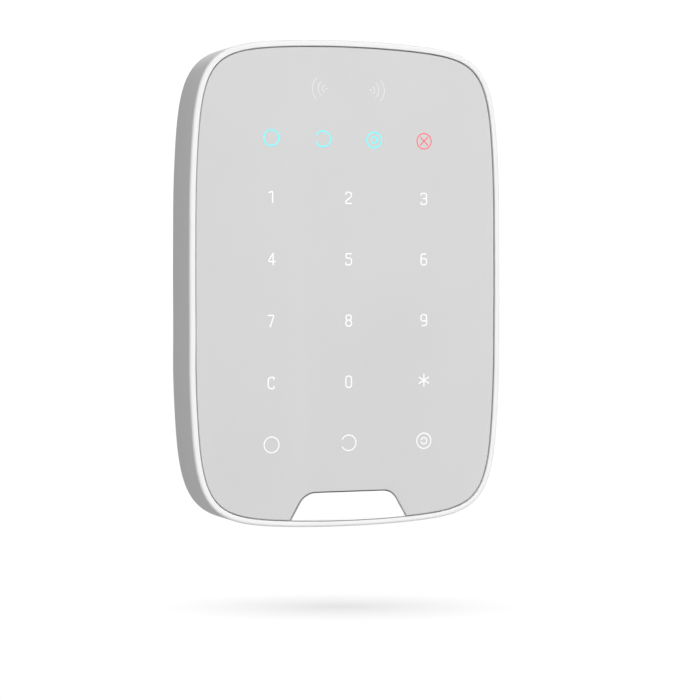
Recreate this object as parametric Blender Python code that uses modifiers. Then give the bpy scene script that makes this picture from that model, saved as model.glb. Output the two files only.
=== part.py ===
"""Wireless alarm keypad on its wall bracket.

Frame: +Z up, +X to the right seen from the front, the front faces -Y.
The origin is the centre of the bracket's rear face, which lies on the wall.

Sizes are in millimetres and MM turns them into metres. A place is given as
x, z and depth, where depth is the distance out from the wall.
"""
import math

import bmesh
import bpy
import numpy as np
from mathutils import Matrix

MM = 0.001
GAP = 0.3

# Body: the outline is a superellipse whose sides bow outwards and are a little
# fuller between their middle and their ends.
WIDTH = 113.0
HEIGHT = 165.0
DEPTH = 20.0
OUTLINE_POWER = 7.68
SIDE_BOW = 2.23
END_BOW = 3.95
FULLNESS = 0.15
FULL_AT = 0.4
FULL_SPREAD = 0.16
WALL = 2.0
EDGE_RADIUS = 0.85
REAR_EDGE_DEPTH = 0.9
REAR_CHAMFER = 0.4
# The side runs from here up and from here down into the corners
SIDE_END_Z = 70.0

# Layers, as (rear, front) depths
BRACKET = (0.0, 2.0)
COVER = (2.4, 4.2)
HOLDER = (4.6, 15.1)
BOARD = (15.5, 16.5)
LED = (16.8, 17.4)
GUIDE = (16.9, 17.7)
READER_COIL = (16.8, 17.2)
PANEL = (18.0, 19.6)
BADGE = (18.0, 19.7)
BEHIND_BOARD = BOARD[0] - GAP

# Front ledge that the panel is bonded to
RIM_INSET = 2.05
LEDGE_INSET = 4.4
LEDGE = (16.5, 17.7)
LEDGE_SLOPE_DEPTH = 15.2
PANEL_INSET = RIM_INSET + GAP
COVER_INSET = WALL + GAP
BOARD_INSET = 8.8

# Badge plate: a trapezoid with rounded upper corners, cut off by the panel's edge
BADGE_TOP_Z = -70.55
BADGE_TOP_HALF_WIDTH = 15.73
BADGE_SLOPE = math.radians(30.0)
BADGE_CORNER_RADIUS = 5.2
BADGE_CUT_Z = -86.0

# Touch keys and indicators
KEY_PITCH_X = 27.7
KEY_PITCH_Z = 20.77
FIRST_ROW_Z = 29.2
KEY_ROWS = 5
INDICATOR_Z = 49.0
INDICATORS = 4
WINDOW = 5.0
WINDOW_RADIUS = 1.0
LED_SIZE = 1.8
# Centre x and z, width, height and corner radius
GUIDE_SHAPE = (0.0, -3.0, 92.0, 118.0, 12.0)

# Bracket and its sliding fit in the keypad
LIFT = 6.0
BRACKET_HALF_WIDTH = 53.6
BRACKET_HALF_HEIGHT = 76.5
BRACKET_CENTRE_Z = LIFT / 2
HOOK_X = 40.0
HOOK_ZS = (30.0, -26.0)
HOOK_WIDTH = 8.0
HOOK_STEM_HALF = 1.0
HOOK_LIP_TOP = 5.5
HOOK_LIP = (4.6, 6.4)
HOOK_CHAMFER = 0.6
HOOK_ROOT_DEPTH = 1.0
HOOK_SIDE_PLAY = 0.6
HOOK_TOP_PLAY = 0.35
HOOK_FOOT_PLAY = 0.5
HOOK_SLOT_RADIUS = 1.0
WALL_SCREW_X = 30.0
WALL_SCREW_Z = 50.0
WALL_SCREW_RADIUS = 2.1
COUNTERSINK_RADIUS = 4.1
COUNTERSINK_DEPTH = 1.7
# How far the countersink's cone runs on at both ends, as (across, along)
COUNTERSINK_PAST = (0.6, 0.5)
LEVEL_SLOT_ZS = (64.0, 36.0)
LEVEL_SLOT_LENGTH = 14.0
SCREW_PAD_RADIUS = 6.5
POCKET_DEPTH = 0.9
POCKET_RADIUS = 3.0
# Pockets that thin the bracket's rear: centre x and z on the right side, width, height
POCKETS = ((29.0, 51.0, 34.0, 30.0), (26.5, 2.0, 41.0, 56.0), (31.25, -48.5, 29.5, 27.0))
# Up arrow recessed between the level slots: the x and z of its right half, foot to barb
ARROW_RIGHT = ((1.2, 44.6), (1.2, 51.0), (4.3, 50.0))
ARROW_TIP_Z = 55.6
ARROW_DEPTH = 1.3

# Breakaway tab under the tamper plunger
TAB_CENTRE_Z = -54.0
TAB_HALF = (12.0, 9.0)
TAB_SLOT_WIDTH = 1.2
TAB_BRIDGE = 3.0

# Lock screw at the bottom edge
LOCK_DEPTH = 7.2
LIP_HALF_WIDTH = 8.0
LIP_Z = (-82.3, -80.6)
LIP_FRONT = 10.2
LIP_SKIN = 0.2
LIP_LAP = 3.0
LIP_BORE_RADIUS = 1.4
LIP_RECESS = (2.6, 1.0)
LOCK_HEAD = (2.2, 0.7)
LOCK_SHANK_RADIUS = 0.9
LOCK_TIP_Z = -73.2
CROSS_ARM = (1.3, 0.26)
CROSS_DEPTH = 0.42
NOTCH_HALF_WIDTH = 8.6
NOTCH_Z = (-84.0, -79.0)
NOTCH_FRONT = 10.8
BOSS_Z = (-79.5, -73.0)
BOSS_HALF_WIDTH = 3.5
BOSS_FRONT = 10.4
BOSS_LAP = 0.5
BOSS_BORE_RADIUS = 1.3

# Rear cover screws and the posts that they go into
POST_ZS = (58.0, 0.0, -58.0)
POST_INSET = 5.7
POST_ROOT_INSET = 0.9
POST_RADIUS = 2.6
POST_FRONT = 17.0
POST_BORE = (1.2, 12.0)
COVER_BORE_RADIUS = 1.3
COVER_RECESS = (2.5, 1.2)
SCREW_HEAD = (2.1, 0.8)
SCREW_SHANK_RADIUS = 0.85
SCREW_TIP = 11.0
SCREW_SINK = 0.05
# Every screw's point as (radius, length), and its head's chamfer as (across, along)
SCREW_POINT = (0.4, 1.0)
HEAD_CHAMFER = (0.3, 0.2)

# Cells, side by side in the holder, with their axes upright
CELL_RADIUS = 5.25
CELL_LENGTH = 43.7
CELL_NUB = (1.9, 0.8)
CELL_CHAMFER = 0.4
CELL_PITCH = 11.3
CELLS = 4
CELL_DEPTH = 9.85
HOLDER_CENTRE_Z = 2.0
HOLDER_WALL = 2.0
HOLDER_HALF_INSIDE = (22.9, 25.6)
HOLDER_RADII = (1.0, 2.0)
CONTACT_PLATE = (4.0, 0.5)
SPRING_LENGTH = 4.4
SPRING_RADII = (3.6, 2.2)
SPRING_WIRE = 0.35
SPRING_TURNS = 3

# On the touch board; the reader's coil as (width, height, corner radius) of its two edges
READER_COIL_Z = 65.5
READER_COIL_EDGES = ((60.0, 14.0, 4.0), (54.0, 8.0, 2.5))
RADIO_SHAPE = (0.0, 52.0, 22.0, 16.0, 1.0)
RADIO = (12.2, BEHIND_BOARD)
BUZZER_PLACE = (-30.0, 56.0)
BUZZER_RADIUS = 6.5
BUZZER = (9.2, BEHIND_BOARD)
RADIO_WIRE = ((22.0, 58.0), (22.0, 68.0), (36.0, 68.0), (41.0, 62.0), (41.0, 44.0))
RADIO_WIRE_DEPTH = 13.2
RADIO_WIRE_RADIUS = 0.5

# Tamper plunger and power button, both worked from the rear
TAMPER_X = 9.0
TAMPER_HOLE = 2.5
# A plunger's turned section, as (radius, depth) from its front end to its rear
TAMPER_SECTION = ((0.0, 9.2), (1.0, 9.2), (1.2, 9.0), (1.2, 6.2), (3.0, 6.2), (3.0, 5.0),
                  (2.1, 5.0), (2.1, 2.6), (1.8, 2.3), (0.0, 2.3))
TAMPER_SPRING_TURNS = 4
TAMPER_SPRING_COIL = 2.1
TAMPER_SPRING_WIRE = 0.22
TAMPER_SPRING = (6.6, 10.4)
TAMPER_SWITCH = (10.9, BEHIND_BOARD)
POWER_X = -36.0
POWER_Z = 2.0
POWER_HOLE = 3.5
POWER_SECTION = ((0.0, 11.1), (1.3, 11.1), (1.5, 10.9), (1.5, 5.8), (4.3, 5.8), (4.3, 5.0),
                 (3.1, 5.0), (3.1, 3.0), (2.8, 2.7), (0.0, 2.7))
POWER_SWITCH = (12.0, BEHIND_BOARD)
SWITCH_SIZE = 6.2

# How far a cutter runs past what it cuts
BEYOND = 1.0

# Turns a flat shape so that its own +Z points out of the wall
TO_FRONT = Matrix.Rotation(math.radians(90.0), 4, "X")
# Turns a flat shape so that its own x is depth and its own y is height
TO_SIDE = Matrix(((0, 0, -1, 0), (-1, 0, 0, 0), (0, 1, 0, 0), (0, 0, 0, 1)))

WHITE = ((0.86, 0.86, 0.86), 0.42, 0.0)
GREY = ((0.66, 0.66, 0.67), 0.38, 0.0)
DARK = ((0.05, 0.05, 0.055), 0.55, 0.0)
BOARD_GREEN = ((0.02, 0.16, 0.07), 0.45, 0.0)
STEEL = ((0.62, 0.62, 0.63), 0.3, 1.0)
COPPER = ((0.72, 0.40, 0.22), 0.35, 1.0)
CELL_SLEEVE = ((0.10, 0.12, 0.16), 0.35, 0.2)
LED_BODY = ((0.92, 0.92, 0.86), 0.3, 0.0)


# ---------------------------------------------------------------- helpers

def clear_scene():
    for obj in list(bpy.data.objects):
        bpy.data.objects.remove(obj, do_unlink=True)


def new_collection(name):
    collection = bpy.data.collections.new(name)
    bpy.context.scene.collection.children.link(collection)
    return collection


clear_scene()
PARTS = new_collection("alarm_keypad")
CUTTERS = new_collection("alarm_keypad_cutters")


def finish_of(name, look):
    """A Principled material of the object's own."""
    color, roughness, metallic = look
    material = bpy.data.materials.new(name + "_finish")
    material.use_nodes = True
    shader = material.node_tree.nodes["Principled BSDF"]
    shader.inputs["Base Color"].default_value = (*color, 1.0)
    shader.inputs["Roughness"].default_value = roughness
    shader.inputs["Metallic"].default_value = metallic
    return material


def add_object(name, data, look):
    """Links a part, or a cutter where look is None."""
    obj = bpy.data.objects.new(name, data)
    if look is None:
        CUTTERS.objects.link(obj)
        obj.hide_render = True
        obj.display_type = "WIRE"
    else:
        PARTS.objects.link(obj)
        data.materials.append(finish_of(name, look))
    return obj


def place(obj, x=0.0, z=0.0, depth=0.0, turn=TO_FRONT):
    shift = Matrix.Translation((x * MM, -depth * MM, z * MM))
    obj.matrix_world = shift @ turn
    return obj


def as_mesh(obj, look):
    """Turns a curve object into a welded mesh object of the same name."""
    bpy.context.view_layer.update()
    graph = bpy.context.evaluated_depsgraph_get()
    mesh = bpy.data.meshes.new_from_object(obj.evaluated_get(graph))
    mesh.materials.clear()
    shape = bmesh.new()
    shape.from_mesh(mesh)
    bmesh.ops.remove_doubles(shape, verts=shape.verts, dist=0.00001)
    shape.to_mesh(mesh)
    shape.free()
    name = obj.name
    world = obj.matrix_world.copy()
    bpy.data.objects.remove(obj, do_unlink=True)
    solid = add_object(name, mesh, look)
    solid.matrix_world = world
    return solid


def boolean(obj, other, operation):
    modifier = obj.modifiers.new(other.name, "BOOLEAN")
    modifier.operation = operation
    modifier.solver = "EXACT"
    modifier.object = other


def cut(obj, *cutters):
    for cutter in cutters:
        boolean(obj, cutter, "DIFFERENCE")


def join(obj, *others):
    for other in others:
        boolean(obj, other, "UNION")


def smooth(mesh, angle=40.0):
    mesh.shade_smooth()
    mesh.set_sharp_from_angle(angle=math.radians(angle))


# ---------------------------------------------------------------- outlines

def body_outline(inset, count, half_width=WIDTH / 2, half_height=HEIGHT / 2, centre_z=0.0):
    """The body's outline, pulled in by inset, as count points.

    Half the points are spread by length and half by how far the outline turns,
    so that the corners come out round.
    """
    samples = 4000
    angle = np.linspace(0.0, 2 * math.pi, samples, endpoint=False)
    reach = (np.abs(np.cos(angle)) ** OUTLINE_POWER
             + np.abs(np.sin(angle)) ** OUTLINE_POWER) ** (-1 / OUTLINE_POWER)
    across = np.cos(angle) * reach
    up = np.sin(angle) * reach
    fuller = FULLNESS * np.exp(-((np.abs(up) - FULL_AT) / FULL_SPREAD) ** 2)
    x = (half_width + fuller) * across - SIDE_BOW * up ** 2 * across
    z = half_height * up - END_BOW * across ** 2 * up
    step_x = np.roll(x, -1) - np.roll(x, 1)
    step_z = np.roll(z, -1) - np.roll(z, 1)
    length = np.hypot(step_x, step_z)
    x = x - inset * step_z / length
    z = z + inset * step_x / length
    heading = np.unwrap(np.arctan2(step_z, step_x))
    turn = np.append(heading - heading[0], 2 * math.pi) / (2 * math.pi)
    side = np.hypot(np.diff(x, append=x[0]), np.diff(z, append=z[0]))
    run = np.append(0.0, np.cumsum(side)) / side.sum()
    place_along = (turn + run) / 2
    wanted = np.arange(count) / count
    x = np.interp(wanted, place_along, np.append(x, x[0]))
    z = np.interp(wanted, place_along, np.append(z, z[0]))
    return [(float(px), float(pz) + centre_z) for px, pz in zip(x, z)]


def outline_x(z, inset):
    """How far out the outline's right side is at height z."""
    right = sorted((pz, px) for px, pz in body_outline(inset, 400)
                   if px > 0 and abs(pz) < SIDE_END_Z)
    return float(np.interp(z, [p[0] for p in right], [p[1] for p in right]))


def circle(x, z, radius, count=24):
    steps = [2 * math.pi * i / count for i in range(count)]
    return [(x + radius * math.cos(a), z + radius * math.sin(a)) for a in steps]


def rounded_box(x, z, width, height, radius, per_corner=4):
    points = []
    for corner in range(4):
        sign_x = 1 if corner in (0, 3) else -1
        sign_z = 1 if corner in (0, 1) else -1
        centre_x = x + sign_x * (width / 2 - radius)
        centre_z = z + sign_z * (height / 2 - radius)
        for i in range(per_corner + 1):
            a = math.pi / 2 * (corner + i / per_corner)
            points.append((centre_x + radius * math.cos(a), centre_z + radius * math.sin(a)))
    return points


def badge_outline(grow):
    """The badge's trapezoid, grown by a clearance, open past the panel's lower edge."""
    top = BADGE_TOP_Z + grow
    radius = BADGE_CORNER_RADIUS + grow

    def edge_x(z):
        return (BADGE_TOP_HALF_WIDTH + (BADGE_TOP_Z - z) * math.tan(BADGE_SLOPE)
                + grow / math.cos(BADGE_SLOPE))

    turn = math.pi / 2 - BADGE_SLOPE
    centre_x = edge_x(top) - radius * math.tan(turn / 2)
    centre_z = top - radius
    right = [(edge_x(BADGE_CUT_Z), BADGE_CUT_Z)]
    for i in range(7):
        a = BADGE_SLOPE + turn * i / 6
        right.append((centre_x + radius * math.cos(a), centre_z + radius * math.sin(a)))
    return right + [(-x, z) for x, z in reversed(right)]


# ---------------------------------------------------------------- solids

def plate(name, loops, layer, look, turn=TO_FRONT, x=0.0):
    """A flat piece from closed outlines; the second and later ones are holes."""
    curve = bpy.data.curves.new(name, "CURVE")
    curve.dimensions = "2D"
    curve.fill_mode = "BOTH"
    curve.extrude = (layer[1] - layer[0]) / 2 * MM
    for loop in loops:
        spline = curve.splines.new("POLY")
        spline.points.add(len(loop) - 1)
        for point, (px, pz) in zip(spline.points, loop):
            point.co = (px * MM, pz * MM, 0.0, 1.0)
        spline.use_cyclic_u = True
    obj = add_object(name, curve, look)
    if turn is TO_SIDE:
        return place(obj, x=x, turn=turn)
    return place(obj, depth=(layer[0] + layer[1]) / 2, turn=turn)


def solid_plate(name, loops, layer, look, turn=TO_FRONT, x=0.0):
    return as_mesh(plate(name, loops, layer, look, turn, x), look)


def box(name, xs, zs, layer, look):
    """A block between two x, two z and two depths."""
    shape = bmesh.new()
    bmesh.ops.create_cube(shape, size=1.0)
    size = (xs[1] - xs[0], layer[1] - layer[0], zs[1] - zs[0])
    bmesh.ops.scale(shape, vec=[side * MM for side in size], verts=shape.verts)
    mesh = bpy.data.meshes.new(name)
    shape.to_mesh(mesh)
    shape.free()
    obj = add_object(name, mesh, look)
    middle = (sum(xs) / 2, sum(zs) / 2, sum(layer) / 2)
    return place(obj, *middle, turn=Matrix.Identity(4))


def rod(name, radii, x, z, layer, look, count=24, turn=TO_FRONT):
    """A cylinder or cone along the depth, radii given rear first."""
    shape = bmesh.new()
    bmesh.ops.create_cone(shape, cap_ends=True, segments=count, radius1=radii[0] * MM,
                          radius2=radii[1] * MM, depth=(layer[1] - layer[0]) * MM)
    mesh = bpy.data.meshes.new(name)
    shape.to_mesh(mesh)
    shape.free()
    smooth(mesh)
    return place(add_object(name, mesh, look), x, z, sum(layer) / 2, turn)


def upright_rod(name, radius, zs, depth, look, count=20):
    """A cylinder along Z on the centre line."""
    shape = bmesh.new()
    bmesh.ops.create_cone(shape, cap_ends=True, segments=count, radius1=radius * MM,
                          radius2=radius * MM, depth=(zs[1] - zs[0]) * MM)
    mesh = bpy.data.meshes.new(name)
    shape.to_mesh(mesh)
    shape.free()
    return place(add_object(name, mesh, look), 0.0, sum(zs) / 2, depth, Matrix.Identity(4))


def turned(name, profile, look, steps=20):
    """A turned piece; the profile is (radius, height) pairs from its top down."""
    mesh = bpy.data.meshes.new(name)
    points = [(radius * MM, 0.0, height * MM) for radius, height in profile]
    mesh.from_pydata(points, [(i, i + 1) for i in range(len(points) - 1)], [])
    obj = add_object(name, mesh, look)
    screw = obj.modifiers.new("turn", "SCREW")
    screw.steps = steps
    screw.render_steps = steps
    screw.use_merge_vertices = True
    screw.merge_threshold = 0.00001
    screw.use_smooth_shade = True
    return obj


def wire(name, points, radius, look):
    """A round wire through points given as (x, z, depth)."""
    curve = bpy.data.curves.new(name, "CURVE")
    curve.dimensions = "3D"
    curve.bevel_depth = radius * MM
    curve.bevel_resolution = 2
    curve.use_fill_caps = True
    spline = curve.splines.new("POLY")
    spline.points.add(len(points) - 1)
    for point, (x, z, depth) in zip(spline.points, points):
        point.co = (x * MM, -depth * MM, z * MM, 1.0)
    return add_object(name, curve, look)


def coil(turns, radii, span, per_turn=9):
    """Points of a spring as (across, across, along); radii and span are each end's."""
    points = []
    last = turns * per_turn
    for i in range(last + 1):
        along = i / last
        a = 2 * math.pi * i / per_turn
        radius = radii[0] + (radii[1] - radii[0]) * along
        height = span[0] + (span[1] - span[0]) * along
        points.append((radius * math.cos(a), radius * math.sin(a), height))
    return points


# ---------------------------------------------------------------- keypad body

def post_places():
    return [(side * outline_x(z, POST_INSET), z) for z in POST_ZS for side in (-1, 1)]


def housing_profile():
    """The wall's section as (inset, depth), round the outside first."""
    points = [(REAR_CHAMFER, REAR_EDGE_DEPTH), (0.0, REAR_EDGE_DEPTH + REAR_CHAMFER)]
    for i in range(5):
        a = math.pi / 2 * i / 4
        points.append((EDGE_RADIUS * (1 - math.cos(a)),
                       DEPTH - EDGE_RADIUS * (1 - math.sin(a))))
    points += [(RIM_INSET, DEPTH), (RIM_INSET, LEDGE[1]), (LEDGE_INSET, LEDGE[1]),
               (LEDGE_INSET, LEDGE[0]), (WALL, LEDGE_SLOPE_DEPTH), (WALL, REAR_EDGE_DEPTH)]
    return points


def front_housing():
    """The skirt and rim: one section swept round the body's outline."""
    section = bpy.data.curves.new("housing_section", "CURVE")
    section.dimensions = "2D"
    spline = section.splines.new("POLY")
    profile = housing_profile()
    spline.points.add(len(profile) - 1)
    for point, (inset, depth) in zip(spline.points, profile):
        point.co = (inset * MM, depth * MM, 0.0, 1.0)
    spline.use_cyclic_u = True
    guide = add_object("housing_section", section, None)

    path = bpy.data.curves.new("front_housing", "CURVE")
    path.dimensions = "2D"
    path.fill_mode = "NONE"
    path.bevel_mode = "OBJECT"
    path.bevel_object = guide
    loop = body_outline(0.0, 96)
    spline = path.splines.new("POLY")
    spline.points.add(len(loop) - 1)
    for point, (x, z) in zip(spline.points, loop):
        point.co = (x * MM, z * MM, 0.0, 1.0)
    spline.use_cyclic_u = True
    housing = as_mesh(place(add_object("front_housing", path, WHITE)), WHITE)

    layer = (COVER[1] + GAP, POST_FRONT)
    for i, (x, z) in enumerate(post_places(), 1):
        length = POST_INSET - POST_ROOT_INSET + POST_RADIUS
        middle = x + math.copysign(length / 2 - POST_RADIUS, x)
        loop = rounded_box(middle, z, length, 2 * POST_RADIUS, POST_RADIUS - 0.1)
        join(housing, solid_plate(f"post_{i}", [loop], layer, None))
        bore_radius, bore_front = POST_BORE
        cut(housing, rod(f"post_bore_{i}", (bore_radius, bore_radius), x, z,
                         (layer[0] - BEYOND, bore_front), None, count=12))
    notch = box("lock_notch", (-NOTCH_HALF_WIDTH, NOTCH_HALF_WIDTH), NOTCH_Z,
                (-BEYOND, NOTCH_FRONT), None)
    cut(housing, notch)
    return housing


def front_panel():
    loop = body_outline(PANEL_INSET, 96)
    panel = solid_plate("front_panel", [loop], PANEL, GREY)
    layer = (PANEL[0] - BEYOND, DEPTH + BEYOND)
    cut(panel, solid_plate("badge_notch", [badge_outline(GAP)], layer, None))

    badge = solid_plate("badge_plate", [loop], BADGE, WHITE)
    keep = solid_plate("badge_shape", [badge_outline(0.0)], layer, None)
    boolean(badge, keep, "INTERSECT")


def rear_cover():
    cover = solid_plate("rear_cover", cover_loops(), COVER, WHITE)
    for i, (x, z) in enumerate(post_places(), 1):
        radius, depth = COVER_RECESS
        recess = rod(f"cover_recess_{i}", (radius, radius), x, z,
                     (COVER[0] - BEYOND, COVER[0] + depth), None, count=16)
        cut(cover, recess)
    boss = box("lock_boss", (-BOSS_HALF_WIDTH, BOSS_HALF_WIDTH), BOSS_Z,
               (COVER[1] - BOSS_LAP, BOSS_FRONT), None)
    bore = upright_rod("lock_boss_bore", BOSS_BORE_RADIUS,
                       (BOSS_Z[0] - BEYOND, BOSS_Z[1] + BEYOND), LOCK_DEPTH, None, count=16)
    join(cover, boss)
    cut(cover, bore)


def cover_loops():
    loops = [body_outline(COVER_INSET, 160)]
    for x, z in post_places():
        loops.append(circle(x, z, COVER_BORE_RADIUS, 12))
    top = HOOK_STEM_HALF + HOOK_TOP_PLAY
    foot = -HOOK_STEM_HALF - LIFT - HOOK_FOOT_PLAY
    for side in (-1, 1):
        for z in HOOK_ZS:
            loops.append(rounded_box(side * HOOK_X, z + (top + foot) / 2,
                                     HOOK_WIDTH + 2 * HOOK_SIDE_PLAY, top - foot,
                                     HOOK_SLOT_RADIUS, 2))
    loops.append(circle(TAMPER_X, TAB_CENTRE_Z, TAMPER_HOLE, 16))
    loops.append(circle(POWER_X, POWER_Z, POWER_HOLE, 20))
    return loops


def cut_cross(screw, x, z, depth, turn):
    """Cuts a cross recess into a screw head whose face lies at the given place."""
    reach, half = CROSS_ARM
    for name, width, height, sunk in (("across", reach, half, CROSS_DEPTH),
                                      ("along", half, reach, CROSS_DEPTH + 0.01)):
        shape = bmesh.new()
        bmesh.ops.create_cube(shape, size=2.0)
        bmesh.ops.scale(shape, vec=[side * MM for side in (width, height, sunk)],
                        verts=shape.verts)
        mesh = bpy.data.meshes.new(f"{screw.name}_{name}")
        shape.to_mesh(mesh)
        shape.free()
        cut(screw, place(add_object(mesh.name, mesh, None), x, z, depth, turn))


def screw_profile(tip, shank_radius, head, face):
    """A screw's turned section from its tip down to its head's face."""
    head_radius, head_height = head
    point_radius, point = SCREW_POINT
    across, along = HEAD_CHAMFER
    return [(0.0, tip), (point_radius, tip), (shank_radius, tip - point),
            (shank_radius, face + head_height), (head_radius, face + head_height),
            (head_radius, face + along), (head_radius - across, face), (0.0, face)]


def cover_screws():
    rear = COVER[0] + SCREW_SINK
    profile = screw_profile(SCREW_TIP, SCREW_SHANK_RADIUS, SCREW_HEAD, rear)
    for i, (x, z) in enumerate(post_places(), 1):
        screw = place(turned(f"cover_screw_{i}", profile, STEEL, steps=12), x, z)
        cut_cross(screw, x, z, rear, TO_FRONT)


# ---------------------------------------------------------------- bracket

def wall_bracket():
    body = body_outline(0.0, 160, BRACKET_HALF_WIDTH, BRACKET_HALF_HEIGHT, BRACKET_CENTRE_Z)
    loops = [body]
    screws = [(sx * WALL_SCREW_X, sz * WALL_SCREW_Z) for sx in (-1, 1) for sz in (-1, 1)]
    screws.append((0.0, TAB_CENTRE_Z))
    loops += [circle(x, z, WALL_SCREW_RADIUS, 20) for x, z in screws]
    for z in LEVEL_SLOT_ZS:
        loops.append(rounded_box(0.0, z, LEVEL_SLOT_LENGTH, 2 * WALL_SCREW_RADIUS,
                                 WALL_SCREW_RADIUS - 0.05))
    half_x, half_z = TAB_HALF
    for side in (-1, 1):
        loops.append(rounded_box(0.0, TAB_CENTRE_Z + side * half_z, 2 * (half_x - TAB_BRIDGE),
                                 TAB_SLOT_WIDTH, TAB_SLOT_WIDTH / 2, 3))
        loops.append(rounded_box(side * half_x, TAB_CENTRE_Z, TAB_SLOT_WIDTH,
                                 2 * (half_z - TAB_BRIDGE), TAB_SLOT_WIDTH / 2, 3))
    bracket = solid_plate("wall_bracket", loops, BRACKET, WHITE)
    cut(bracket, *bracket_pockets(screws))

    across, along = COUNTERSINK_PAST
    radii = (WALL_SCREW_RADIUS - across, COUNTERSINK_RADIUS + across)
    layer = (BRACKET[1] - COUNTERSINK_DEPTH - along, BRACKET[1] + along)
    for i, (x, z) in enumerate(screws, 1):
        cut(bracket, rod(f"countersink_{i}", radii, x, z, layer, None, count=20))
    for i, (side, z) in enumerate([(s, z) for s in (-1, 1) for z in HOOK_ZS], 1):
        join(bracket, bracket_hook(f"hook_{i}", side * HOOK_X, z))
    join(bracket, bracket_lip())
    head_recess = LIP_Z[0] + LIP_RECESS[1]
    cut(bracket,
        upright_rod("lip_recess", LIP_RECESS[0], (LIP_Z[0] - BEYOND, head_recess), LOCK_DEPTH,
                    None),
        upright_rod("lip_bore", LIP_BORE_RADIUS, (LIP_Z[0] - 1.5 * BEYOND, LIP_Z[1] + BEYOND),
                    LOCK_DEPTH, None, count=16))


def bracket_pockets(screws):
    """Cutters for the rear's shallow pockets, with a pad left round each screw, and an up arrow."""
    layer = (BRACKET[0] - BEYOND, BRACKET[0] + POCKET_DEPTH)
    cutters = []
    for side in (-1, 1):
        for i, (x, z, width, height) in enumerate(POCKETS, 1):
            loops = [rounded_box(side * x, z, width, height, POCKET_RADIUS)]
            loops += [circle(sx, sz, SCREW_PAD_RADIUS) for sx, sz in screws
                      if abs(sx - side * x) < width / 2 and abs(sz - z) < height / 2]
            cutters.append(solid_plate(f"pocket_{i}_{side}", loops, layer, None))
    arrow = [*ARROW_RIGHT, (0.0, ARROW_TIP_Z), *((-x, z) for x, z in reversed(ARROW_RIGHT))]
    layer = (BRACKET[0] - BEYOND, BRACKET[0] + ARROW_DEPTH)
    cutters.append(solid_plate("arrow", [arrow], layer, None))
    return cutters


def bracket_hook(name, x, z):
    """An upright hook: a stem through the cover and a lip that rises behind it."""
    rear, front = HOOK_LIP
    low, high, top = z - HOOK_STEM_HALF, z + HOOK_STEM_HALF, z + HOOK_LIP_TOP
    outline = [(HOOK_ROOT_DEPTH, low), (front, low), (front, top - HOOK_CHAMFER),
               (front - HOOK_CHAMFER, top), (rear, top), (rear, high), (HOOK_ROOT_DEPTH, high)]
    return solid_plate(name, [outline], (0.0, HOOK_WIDTH), None, TO_SIDE, x)


def bracket_lip():
    """The tongue below the plate, and the lip that takes the lock screw."""
    inner = BRACKET[1] - LIP_SKIN
    top = BRACKET_CENTRE_Z - BRACKET_HALF_HEIGHT + LIP_LAP
    outline = [(LIP_SKIN, LIP_Z[0]), (LIP_FRONT, LIP_Z[0]), (LIP_FRONT, LIP_Z[1]),
               (inner, LIP_Z[1]), (inner, top), (LIP_SKIN, top)]
    return solid_plate("bracket_lip", [outline], (0.0, 2 * LIP_HALF_WIDTH), None, TO_SIDE)


def lock_screw():
    foot = LIP_Z[0]
    profile = screw_profile(LOCK_TIP_Z, LOCK_SHANK_RADIUS, LOCK_HEAD, foot)
    upright = Matrix.Identity(4)
    screw = place(turned("lock_screw", profile, STEEL, steps=20), depth=LOCK_DEPTH, turn=upright)
    cut_cross(screw, 0.0, foot, LOCK_DEPTH, upright)


# ---------------------------------------------------------------- electronics

def key_places():
    return [((column - 1) * KEY_PITCH_X, FIRST_ROW_Z - row * KEY_PITCH_Z)
            for row in range(KEY_ROWS) for column in range(3)]


def indicator_places():
    pitch = 2 * KEY_PITCH_X / (INDICATORS - 1)
    return [((i - (INDICATORS - 1) / 2) * pitch, INDICATOR_Z) for i in range(INDICATORS)]


def lights():
    for kind, places in (("indicator_led", indicator_places()), ("key_led", key_places())):
        for i, (x, z) in enumerate(places, 1):
            half = LED_SIZE / 2
            box(f"{kind}_{i}", (x - half, x + half), (z - half, z + half), LED, LED_BODY)
    loops = [rounded_box(*GUIDE_SHAPE, 6)]
    for x, z in indicator_places() + key_places():
        loops.append(rounded_box(x, z, WINDOW, WINDOW, WINDOW_RADIUS, 1))
    plate("light_guide", loops, GUIDE, LED_BODY)


def boards():
    plate("touch_board", [body_outline(BOARD_INSET, 64)], BOARD, BOARD_GREEN)
    ring = [rounded_box(0.0, READER_COIL_Z, *edge, 4) for edge in READER_COIL_EDGES]
    plate("reader_antenna", ring, READER_COIL, COPPER)
    shield = solid_plate("radio_module", [rounded_box(*RADIO_SHAPE, 2)], RADIO, STEEL)
    smooth(shield.data)
    rod("buzzer", (BUZZER_RADIUS, BUZZER_RADIUS), *BUZZER_PLACE, BUZZER, DARK)
    for name, side in (("radio_antenna_left", -1), ("radio_antenna_right", 1)):
        points = [(side * x, z, RADIO_WIRE_DEPTH) for x, z in RADIO_WIRE]
        wire(name, points, RADIO_WIRE_RADIUS, COPPER)


def tamper():
    """A sprung plunger that the breakaway tab holds in, and its switch."""
    place(turned("tamper_plunger", TAMPER_SECTION, DARK, steps=16), TAMPER_X, TAB_CENTRE_Z)
    points = coil(TAMPER_SPRING_TURNS, (TAMPER_SPRING_COIL, TAMPER_SPRING_COIL), TAMPER_SPRING)
    wire("tamper_spring", [(TAMPER_X + a, TAB_CENTRE_Z + b, depth) for a, b, depth in points],
         TAMPER_SPRING_WIRE, STEEL)
    half = SWITCH_SIZE / 2
    box("tamper_switch", (TAMPER_X - half, TAMPER_X + half),
        (TAB_CENTRE_Z - half, TAB_CENTRE_Z + half), TAMPER_SWITCH, DARK)


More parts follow.
